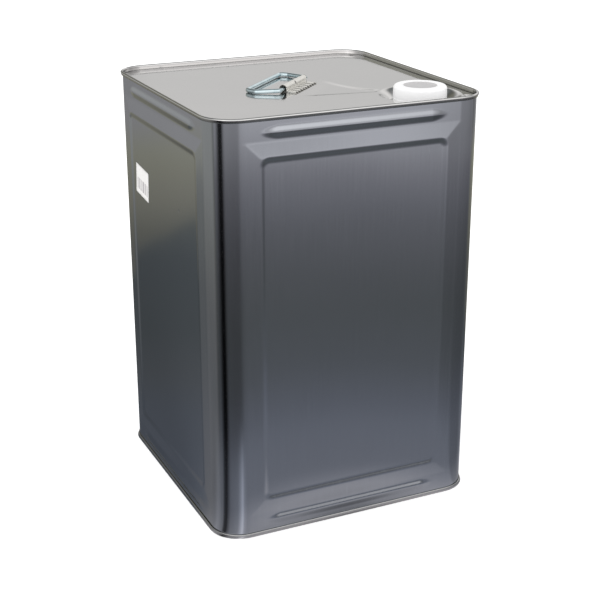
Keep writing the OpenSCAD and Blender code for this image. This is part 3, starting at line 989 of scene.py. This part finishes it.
# what the floor gives back in the tin: distance from the can's middle in metres, colour
frontFloor = [
    (0.119, (0.17, 0.17, 0.18)), (0.1225, (0.2, 0.2, 0.21)), (0.126, (0.46, 0.45, 0.47)),
    (0.132, (0.46, 0.45, 0.47)), (0.15, (0.60, 0.585, 0.61)), (0.17, (0.46, 0.46, 0.50)),
    (0.20, (0.29, 0.30, 0.34)), (0.28, (0.266, 0.28, 0.322)), (0.33, (0.225, 0.237, 0.272)),
    (0.43, (0.174, 0.184, 0.197)), (0.60, (0.158, 0.167, 0.170)), (0.74, (0.176, 0.181, 0.188)),
    (0.97, (0.234, 0.234, 0.25)), (1.11, (0.308, 0.305, 0.33)), (1.28, (0.385, 0.37, 0.395)),
    (1.40, (0.60, 0.59, 0.61)), (1.65, (0.82, 0.80, 0.82)), (2.5, (0.98, 0.96, 0.98))]
darkFloor = [
    (0.118, (0.14, 0.155, 0.185)), (0.22, (0.135, 0.148, 0.17)), (0.30, (0.128, 0.138, 0.148)),
    (0.42, (0.113, 0.125, 0.131)), (0.56, (0.115, 0.128, 0.134)), (0.67, (0.12, 0.133, 0.14)),
    (0.79, (0.15, 0.165, 0.165)), (2.5, (0.17, 0.18, 0.18))]
oliveFloor = [
    (0.70, (0.195, 0.195, 0.175)), (0.79, (0.23, 0.226, 0.19)), (0.86, (0.275, 0.27, 0.226)),
    (0.94, (0.32, 0.31, 0.255)), (1.03, (0.35, 0.34, 0.278)), (1.12, (0.38, 0.37, 0.295)),
    (1.25, (0.42, 0.413, 0.33)), (1.50, (0.44, 0.43, 0.43)), (2.5, (0.48, 0.47, 0.47))]
leftFloor = [
    (0.20, (0.24, 0.24, 0.25)), (0.39, (0.215, 0.218, 0.22)), (0.58, (0.225, 0.225, 0.22)),
    (0.86, (0.31, 0.31, 0.29)), (1.25, (0.45, 0.45, 0.42)), (2.5, (0.52, 0.52, 0.50))]
# how the brightness changes round the can, far off and close to it, seen from the near left corner
# and from the near right one, and how the sky changes: direction in degrees, share
farAround = [
    (-180, 0.66), (-172, 0.52), (-166, 0.22), (-161, 0.03), (-151, 0.03), (-146, 0.34), (-140, 0.58),
    (-110, 0.54), (-95, 0.56), (-86, 0.84), (-75, 0.95), (-62, 1.0), (60, 1.0), (90, 0.74), (104.5, 0.75),
    (107, 0.83), (110, 0.95), (112, 1.0), (170, 1.0), (176, 0.62), (180, 0.5)]
nearAround = [
    (-180, 0.9), (-172, 0.85), (-165, 0.2), (-155, 0.12), (-149, 0.42), (-140, 0.8), (-112, 1.0),
    (-103, 1.6), (-96, 2.3), (-90, 1.35), (-80, 1.0), (60, 1.0), (90, 0.76), (104.5, 0.78), (107, 0.84),
    (110, 0.95), (112, 1.0), (150, 1.0), (165, 1.3), (180, 1.0)]
rightAround = [
    (-180, 1.0), (-60, 1.0), (-55, 0.88), (-50, 0.72), (-30, 0.68), (-5, 0.62), (15, 0.8), (40, 1.0),
    (180, 1.0)]
farRightAround = [
    (-180, 1.0), (-66, 1.0), (-62.5, 1.0), (-60.2, 0.88), (-59, 0.76), (-56, 0.56), (-50, 0.52), (-30, 0.5),
    (-5, 0.4), (15, 0.6), (40, 1.0), (180, 1.0)]
lowAround = [
    (-180, 0.6), (-170, 0.4), (-163, 0.06), (-148, 0.06), (-142, 0.55), (-90, 0.7), (-80, 0.75),
    (-72, 0.76), (-66, 0.74), (-65, 0.72), (-64, 0.79), (-63, 0.9), (-62, 0.97), (-60.6, 0.97),
    (-59.3, 0.78), (-58.6, 0.64), (-55, 0.55), (-46, 0.42), (-20, 0.36), (40, 0.2), (50, 0.25), (70, 0.5),
    (98, 1.0), (120, 1.05), (150, 1.1), (172, 0.9), (180, 0.6)]
highAround = [
    (-180, 0.8), (-165, 1.1), (-140, 1.35), (-125, 1.15), (-92, 1.0), (-75, 1.0), (-62, 1.0), (-56, 0.8),
    (-45, 0.6), (-10, 0.45), (12, 0.95), (30, 1.1), (48, 1.05), (56, 0.97), (72, 1.0), (78, 0.5),
    (84, (0.24, 0.24, 0.21)), (106, (0.22, 0.22, 0.19)), (111, (0.42, 0.42, 0.37)),
    (114, (0.6, 0.61, 0.54)), (125, (0.5, 0.5, 0.45)), (150, 0.8), (180, 0.8)]
# sky by height in degrees, seen from the front and from the back
frontSky = [
    (-20, (0.9, 0.88, 0.9)), (-6, (1.0, 0.98, 1.0)), (4, (1.0, 0.98, 0.98)), (11, (1.0, 0.98, 0.98)),
    (15, (1.38, 1.35, 1.34)), (22, (1.42, 1.39, 1.38)), (32, (1.3, 1.29, 1.28)), (45, 1.2), (60, 0.7),
    (75, (0.45, 0.46, 0.46)), (90, (0.45, 0.46, 0.46))]
backSky = [
    (-20, (0.30, 0.30, 0.27)), (-6, (0.42, 0.42, 0.40)), (2, (0.57, 0.57, 0.56)),
    (12, (0.665, 0.66, 0.655)), (22, (0.88, 0.87, 0.86)), (28, (0.80, 0.79, 0.78)), (36, (0.2, 0.21, 0.21)),
    (70, (0.2, 0.21, 0.21)), (82, (0.45, 0.46, 0.46)), (90, (0.45, 0.46, 0.46))]


def azimuthShare(tree, x, y, stops):
    turn = addMath(tree, "ARCTAN2", y, x)
    share = addMath(tree, "ADD", addMath(tree, "DIVIDE", turn, 2 * math.pi), 0.5)
    return addRamp(tree, share, [((degrees + 180) / 360, value) for degrees, value in stops])


def aroundMix(tree, x, y, share, first, second):
    return addMix(tree, share, azimuthShare(tree, x, y, first), azimuthShare(tree, x, y, second))


def acrossLine(tree, distance, soft):
    return smoothStep(tree, distance, -soft, soft)


def makeWorld():
    world = bpy.data.worlds.new("studio")
    scene.world = world
    world.use_nodes = True
    world.cycles.sampling_method = "NONE"  # so that a ray's kind is known here
    tree = world.node_tree
    background = tree.nodes["Background"]
    direction = addNode(tree, "TexCoord").outputs["Generated"]
    x, y, z = addNode(tree, "SeparateXYZ", {0: direction}).outputs
    height = addMath(tree, "ADD", addMath(tree, "DIVIDE", addMath(tree, "ARCSINE", z), math.pi), 0.5)
    skies = [addRamp(tree, height, [((degrees + 90) / 180, color) for degrees, color in sky])
             for sky in (frontSky, backSky)]
    sky = addMix(tree, acrossLine(tree, y, studio["skySoft"]), *skies)
    turned = aroundMix(tree, x, y, smoothStep(tree, z, *studio["lowToHigh"]), lowAround, highAround)
    turned = addMix(tree, smoothStep(tree, z, *studio["highToTop"]), turned, grey(1))
    seen = addMix(tree, 1.0, sky, turned, "MULTIPLY")
    rays = addNode(tree, "LightPath").outputs
    # dull surfaces are lit softly, also by way of the tin
    straight = addMath(tree, "LESS_THAN", rays["Diffuse Depth"], 0.5)
    glossy = product(tree, rays["Is Glossy Ray"], straight)
    soft = addRamp(tree, addMath(tree, "MAXIMUM", z, 0.0),
                   [(0.0, studio["lightLow"]), (1.0, studio["lightHigh"])])
    tree.links.new(addMix(tree, glossy, soft, seen), background.inputs["Color"])


def emitter(name):
    material = bpy.data.materials.new(name)
    material.use_nodes = True
    tree = material.node_tree
    tree.nodes.clear()
    emission = addNode(tree, "Emission")
    addNode(tree, "OutputMaterial", {"Surface": emission.outputs[0]})
    return material, tree, emission


def stagePlane(name, size, z, material):
    bm = bmesh.new()
    bmesh.ops.create_grid(bm, x_segments=1, y_segments=1, size=size)
    bmesh.ops.translate(bm, vec=(0, 0, z), verts=bm.verts)
    plane = newObject(name, bm, material)
    return plane


def makeFloor():
    material, tree, shader = newMaterial("paleFloor", studio["floorColor"], 0.0, studio["floorRough"])
    shader.inputs["Specular IOR Level"].default_value = 0.0
    shader.inputs["Emission Color"].default_value = grey(1)
    shader.inputs["Emission Strength"].default_value = studio["floorGlow"]
    floor = stagePlane("paleFloor", studio["floorSize"], 0.0, material)
    floor.visible_glossy = False

    material, tree, emission = emitter("reflectedFloor")
    place = objectSpot(tree)
    x, y = addNode(tree, "SeparateXYZ", {0: place}).outputs[:2]
    metres = addNode(tree, "VectorMath", {0: place}, operation="LENGTH").outputs["Value"]
    away = addMath(tree, "DIVIDE", metres, studio["cardRadius"])
    front, dark, olive, left = [addRamp(tree, away, [(r / studio["cardRadius"], color) for r, color in stops])
                                for stops in (frontFloor, darkFloor, oliveFloor, leftFloor)]
    a, b, c = studio["shadeEdge"]
    beyond = addMath(tree, "ADD", product(tree, x, a), product(tree, y, b))
    beyond = addMath(tree, "ADD", beyond, c)
    back = addMix(tree, acrossLine(tree, beyond, studio["shadeSoft"]), dark, olive)
    cornerX, cornerY = studio["corner"]
    fromLeft = addMath(tree, "SUBTRACT", x, cornerX), addMath(tree, "SUBTRACT", y, cornerY)
    fromRight = addMath(tree, "ADD", x, cornerX), fromLeft[1]
    toLeft = azimuthShare(tree, *fromLeft, leftShare)
    # the front floor ends level with the near left corner, and level with the can's middle on the right
    over = studio["levelOver"]
    level = addMath(tree, "ADD", y, product(tree, smoothStep(tree, x, over, -over), over))
    back = addMix(tree, toLeft, back, left)
    color = addMix(tree, acrossLine(tree, level, studio["floorSoft"]), front, back)
    near, far = [smoothStep(tree, metres, *studio[reach]) for reach in ("nearTo", "farFrom")]
    around = aroundMix(tree, *fromLeft, near, nearAround, farAround)
    right = aroundMix(tree, *fromRight, far, rightAround, farRightAround)
    around = addMix(tree, 1.0, around, right, "MULTIPLY")
    tree.links.new(addMix(tree, 1.0, color, around, "MULTIPLY"), emission.inputs["Color"])
    card = stagePlane("reflectedFloor", studio["cardRadius"], studio["cardZ"], material)
    card.visible_camera = card.visible_diffuse = card.visible_shadow = False
    card.visible_transmission = card.visible_volume_scatter = False


camera = {"place": (-0.4489, -0.9791, 0.5596), "forward": (0.3947, 0.8485, -0.3525),
          "lens": 77.913, "sensor": 36.0, "nearest": 0.01}


def makeCamera():
    data = bpy.data.cameras.new("view")
    data.lens = camera["lens"]
    data.sensor_width = camera["sensor"]
    data.clip_start = camera["nearest"]
    seer = bpy.data.objects.new("view", data)
    scene.collection.objects.link(seer)
    turn = Vector(camera["forward"]).to_track_quat("-Z", "Y")
    seer.matrix_world = Matrix.Translation(camera["place"]) @ turn.to_matrix().to_4x4()
    scene.camera = seer


makeWorld()
makeFloor()
makeCamera()
scene.view_settings.view_transform = "Standard"
print("stage: studio and camera")
